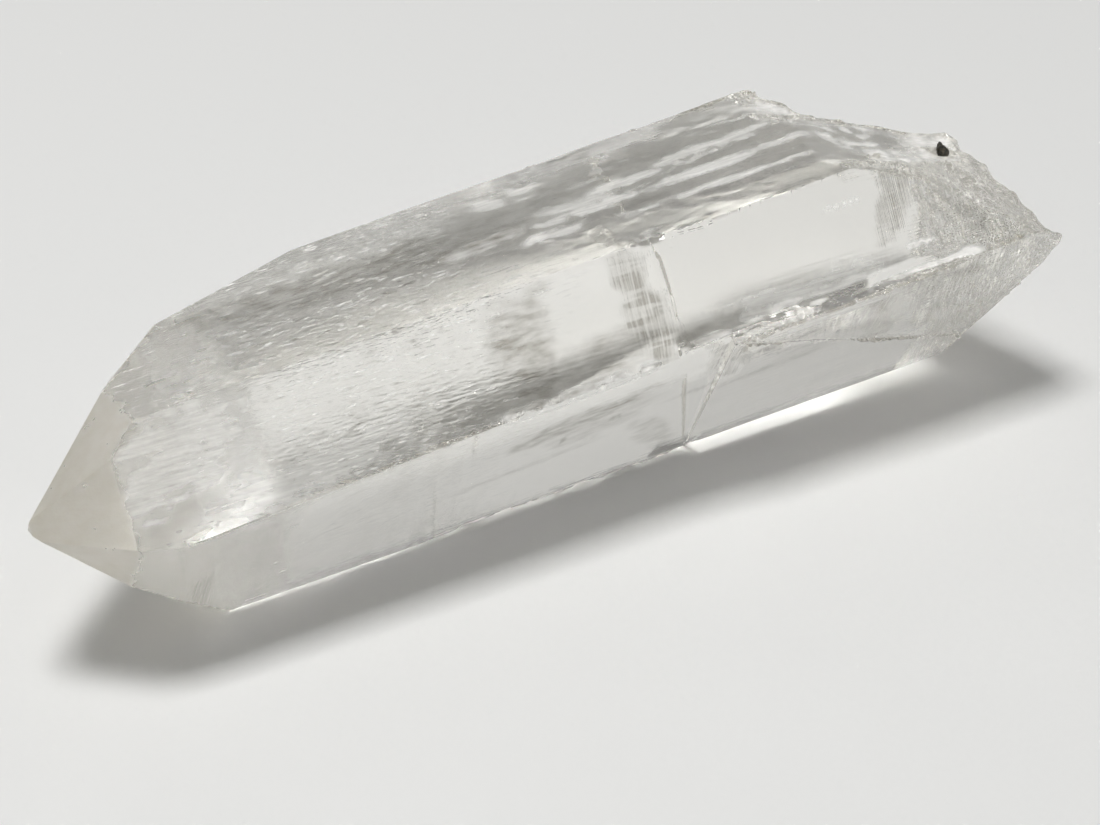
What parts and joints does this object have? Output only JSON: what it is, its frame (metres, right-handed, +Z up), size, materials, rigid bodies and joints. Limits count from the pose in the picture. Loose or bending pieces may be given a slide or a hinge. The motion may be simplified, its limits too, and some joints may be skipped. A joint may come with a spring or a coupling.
{
  "type": "clear quartz crystal",
  "caption": "Single clear quartz point lying on a prism face: tapering six-sided prism, blunt six-faced tip, broken root with a spur and stepped fracture faces",
  "frame": {"origin": "centre of the footprint box, on the surface that the crystal lies on", "axes": "+X along the crystal from the tip to the broken root, +Y away from the front, +Z up"},
  "size_m": [0.0952, 0.0318, 0.0259],
  "materials": {
    "clear_quartz": "clear natural quartz, refractive index 1.54: glassy prism faces, finely etched and frosty towards the tip, very fine striations square to the long axis, rough shell-like fracture at the root"
  },
  "bodies": {
    "root": {"quartz_crystal": "clear_quartz"}
  },
  "joints": []
}
